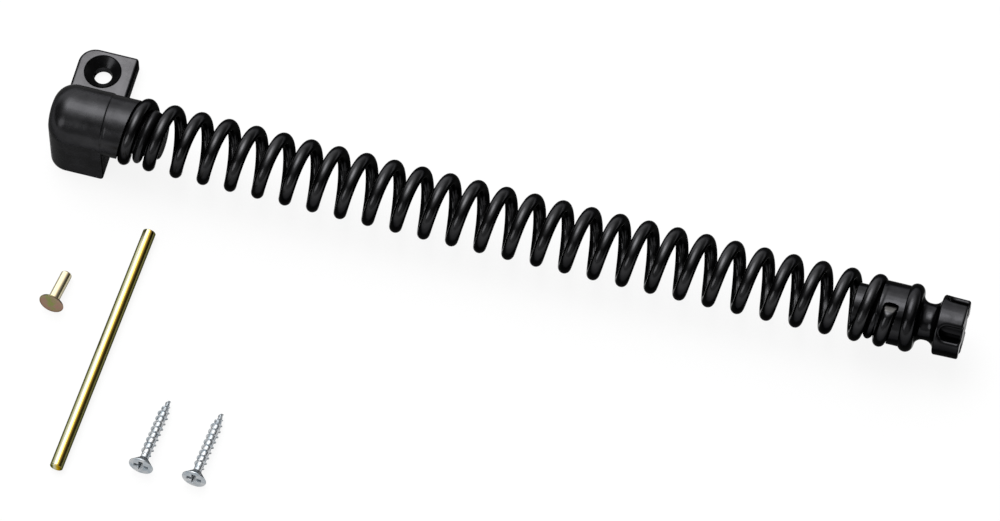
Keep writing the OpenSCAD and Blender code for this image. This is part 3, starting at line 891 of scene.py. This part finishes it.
for number, (screw, spot) in enumerate(zip((first_screw, second_screw), screw_places), 1):
    lay_down(screw, (*spot, screw_lift), screw_tilt, screw_turn)
    smooth(screw, 35)
    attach(screw, f"screw_{number}")
    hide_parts(f"mounting_screw_{number}")

# The table is a plain white sheet under one round soft box with a brighter middle, a little to the left and
# behind. A small panel stands at the front left, and the room is paler behind. The camera looks down on it.
table_size, table_drop, table_glow = 6, 0.05 * mm, 0.87
closer_middle = 0.14
bpy.ops.mesh.primitive_plane_add(size=table_size, location=(closer_middle, 0, -table_drop))
table = bpy.context.object
table.name = table.data.name = "table_top"
bpy.ops.object.transform_apply(location=True, rotation=True, scale=True)
paper = bpy.data.materials.new("white_paper")
paper.use_nodes = True
paper_tree = paper.node_tree
sheet = paper_tree.nodes["Principled BSDF"]
sheet.inputs["Base Color"].default_value = (0.95, 0.95, 0.95, 1)
sheet.inputs["Roughness"].default_value = 0.9
sheet.inputs["Specular IOR Level"].default_value = 0.1
rays = add_node(paper_tree, "LightPath")
seen = add_node(paper_tree, "Math", operation="MAXIMUM")
shown = add_node(paper_tree, "Math", operation="MAXIMUM")
part_lit = add_node(paper_tree, "Math", operation="MULTIPLY")
part_lit.inputs[1].default_value = table_glow
glow = add_node(paper_tree, "Emission", Strength=1.0)
blend = add_node(paper_tree, "MixShader")
wire_up(paper_tree,
        (rays.outputs["Is Camera Ray"], seen.inputs[0]),
        (rays.outputs["Is Glossy Ray"], seen.inputs[1]),
        (seen.outputs["Value"], shown.inputs[0]),
        (rays.outputs["Is Transmission Ray"], shown.inputs[1]),
        (shown.outputs["Value"], part_lit.inputs[0]),
        (part_lit.outputs["Value"], blend.inputs["Fac"]),
        (sheet.outputs["BSDF"], blend.inputs[1]),
        (glow.outputs["Emission"], blend.inputs[2]),
        (blend.outputs["Shader"], paper_tree.nodes["Material Output"].inputs["Surface"]))
table.data.materials.append(paper)

aim, lamp_distance = Vector((closer_middle, -0.04, 0.015)), 3.0


def sky_side(back, aside):
    """The way to a place in the sky, so many degrees back and aside from straight up."""
    back, aside = radians(back), radians(aside)
    return Vector((sin(aside), cos(aside) * sin(back), cos(aside) * cos(back)))


for name, back, aside, deep, wide, roll, level in (("soft_box", 12, -13, 27, 26, 0, 1.5),
                                                   ("soft_box_middle", 11, -13, 15, 14, 0, 2.4),
                                                   ("front_panel", -58, -32, 12, 19, 57, 1.8)):
    toward = sky_side(back, aside)
    lean = Quaternion((0, 0, 1), radians(roll))
    bpy.ops.object.light_add(type="AREA", location=aim + lamp_distance * toward,
                             rotation=(toward.to_track_quat("Z", "Y") @ lean).to_euler())
    lamp = bpy.context.object
    lamp.name = lamp.data.name = name
    lamp.data.shape = "ELLIPSE"
    lamp.data.size = 2 * lamp_distance * tan(radians(wide))
    lamp.data.size_y = 2 * lamp_distance * tan(radians(deep))
    lamp.data.energy = pi * level * lamp.data.size * lamp.data.size_y
world = bpy.data.worlds.new("dim_room")
bpy.context.scene.world = world
world.use_nodes = True
room = world.node_tree
looking = add_node(room, "TexCoord")
split = add_node(room, "SeparateXYZ")
behind = add_node(room, "MapRange", interpolation_type="SMOOTHSTEP", From_Min=0.15, From_Max=0.65)
left_side = add_node(room, "MapRange", interpolation_type="SMOOTHSTEP", From_Min=0.7, From_Max=-0.4,
                     To_Min=0.1, To_Max=1.15)
before = add_node(room, "MapRange", interpolation_type="SMOOTHSTEP", From_Min=-0.6, From_Max=-0.95,
                  To_Min=0.04, To_Max=0.4)
toward_box = add_node(room, "VectorMath", operation="DOT_PRODUCT")
toward_box.inputs[1].default_value = sky_side(12, -5)
halo = add_node(room, "MapRange", interpolation_type="SMOOTHSTEP", From_Min=0.55, From_Max=0.95, To_Max=0.8)
sum_up = add_node(room, "Math", operation="ADD")
low = add_node(room, "MapRange", From_Min=0.5, From_Max=0.0, To_Min=1.0, To_Max=1.9)
rear = add_node(room, "Math", operation="MULTIPLY")
pale = add_node(room, "Math", operation="MULTIPLY_ADD")
wire_up(room,
        (looking.outputs["Generated"], split.inputs["Vector"]),
        (split.outputs["Y"], behind.inputs["Value"]),
        (split.outputs["X"], left_side.inputs["Value"]),
        (split.outputs["Y"], before.inputs["Value"]),
        (split.outputs["Z"], low.inputs["Value"]),
        (behind.outputs["Result"], rear.inputs[0]),
        (low.outputs["Result"], rear.inputs[1]),
        (rear.outputs["Value"], pale.inputs[0]),
        (left_side.outputs["Result"], pale.inputs[1]),
        (looking.outputs["Generated"], toward_box.inputs[0]),
        (toward_box.outputs["Value"], halo.inputs["Value"]),
        (before.outputs["Result"], sum_up.inputs[0]),
        (halo.outputs["Result"], sum_up.inputs[1]),
        (sum_up.outputs["Value"], pale.inputs[2]),
        (pale.outputs["Value"], room.nodes["Background"].inputs["Strength"]))
room.nodes["Background"].inputs["Color"].default_value = (1, 1, 1, 1)
bpy.context.scene.view_settings.view_transform = "Standard"

camera_place = (0.45067, -1.17116, 2.25349)
camera_tilt, camera_turn = radians(27.691), radians(15.208)
bpy.ops.object.camera_add(location=camera_place, rotation=(camera_tilt, 0, camera_turn))
camera = bpy.context.object
camera.data.lens, camera.data.sensor_width, camera.data.sensor_fit = 288, 36, "HORIZONTAL"
bpy.context.scene.camera = camera
